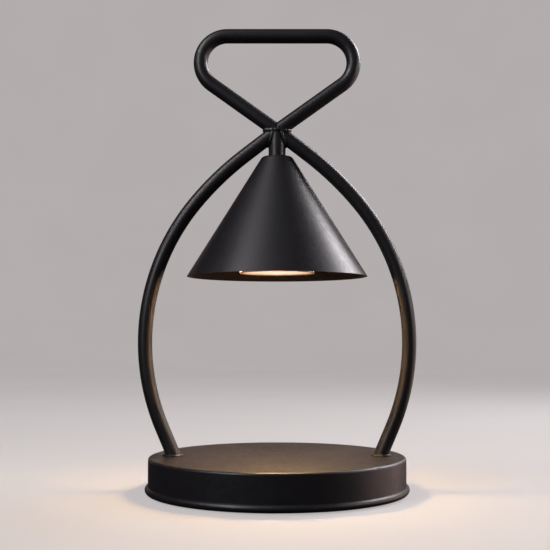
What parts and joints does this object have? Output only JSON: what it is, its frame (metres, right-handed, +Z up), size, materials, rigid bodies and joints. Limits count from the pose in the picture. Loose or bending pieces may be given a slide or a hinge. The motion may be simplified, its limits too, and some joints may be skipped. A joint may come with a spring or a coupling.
{
  "type": "candle warmer lamp",
  "caption": "Free-standing lamp that melts a jar candle from above: round base, arch of bent tube with a carrying loop, and a cone shade over a reflector lamp.",
  "frame": {"origin": "on the table, under the middle of the round base", "axes": "+Z up, +X to the right as seen from the front, +Y to the rear, where the cord inlet is"},
  "size_m": [0.1852, 0.1742, 0.3091],
  "materials": {
    "powder_coat_black": "fine satin powder coat on steel",
    "weight_iron": "machined flat, oiled",
    "zinc_plated_steel": "bright zinc plate",
    "nickel_plate": "nickel plate",
    "black_rubber": "matte",
    "black_nylon": "moulded, fine texture",
    "white_nylon": "moulded, semi-matte",
    "brass": "turned",
    "brown_sleeve": "heat-resistant sleeve",
    "blue_sleeve": "heat-resistant sleeve",
    "glazed_ceramic": "white steatite ceramic, lightly glazed",
    "coated_reflector_glass": "pressed glass, mirror coated",
    "lit_lens_glass": "frosted front glass, lit warm white",
    "quartz_glass": "clear quartz",
    "tungsten": "coiled wire"
  },
  "bodies": {
    "lamp": {"base_pan": "powder_coat_black", "arm_left": "powder_coat_black", "arm_right": "powder_coat_black", "handle_loop": "powder_coat_black", "stem": "powder_coat_black", "weld_beads": "powder_coat_black", "foot_studs": "powder_coat_black", "shade": "powder_coat_black", "bottom_cover": "powder_coat_black", "weight_plate": "weight_iron", "cover_standoffs": "zinc_plated_steel", "cover_screws": "zinc_plated_steel", "foot_washers": "zinc_plated_steel", "foot_nuts": "zinc_plated_steel", "stem_nipple": "zinc_plated_steel", "shade_washer": "zinc_plated_steel", "shade_nut": "zinc_plated_steel", "bracket_nut": "zinc_plated_steel", "holder_bracket": "zinc_plated_steel", "holder_screws": "zinc_plated_steel", "block_screw": "zinc_plated_steel", "terminal_screws": "zinc_plated_steel", "holder_contacts": "nickel_plate", "rubber_feet": "black_rubber", "cord_bushing": "black_nylon", "wire_bush": "black_nylon", "terminal_block": "white_nylon", "terminal_sleeves": "brass", "live_wire": "brown_sleeve", "neutral_wire": "blue_sleeve", "lampholder": "glazed_ceramic"},
    "bulb": {"bulb_base": "glazed_ceramic", "bulb_pins": "nickel_plate", "bulb_reflector": "coated_reflector_glass", "bulb_lens": "lit_lens_glass", "bulb_capsule": "quartz_glass", "bulb_filament": "tungsten"}
  },
  "joints": [
    {"name": "bulb_twist", "type": "hinge", "parent": "lamp", "child": "bulb", "pos_m": [0, 0, 0.1915], "axis": [0, 0, -1], "range_deg": [0, 30]}
  ]
}
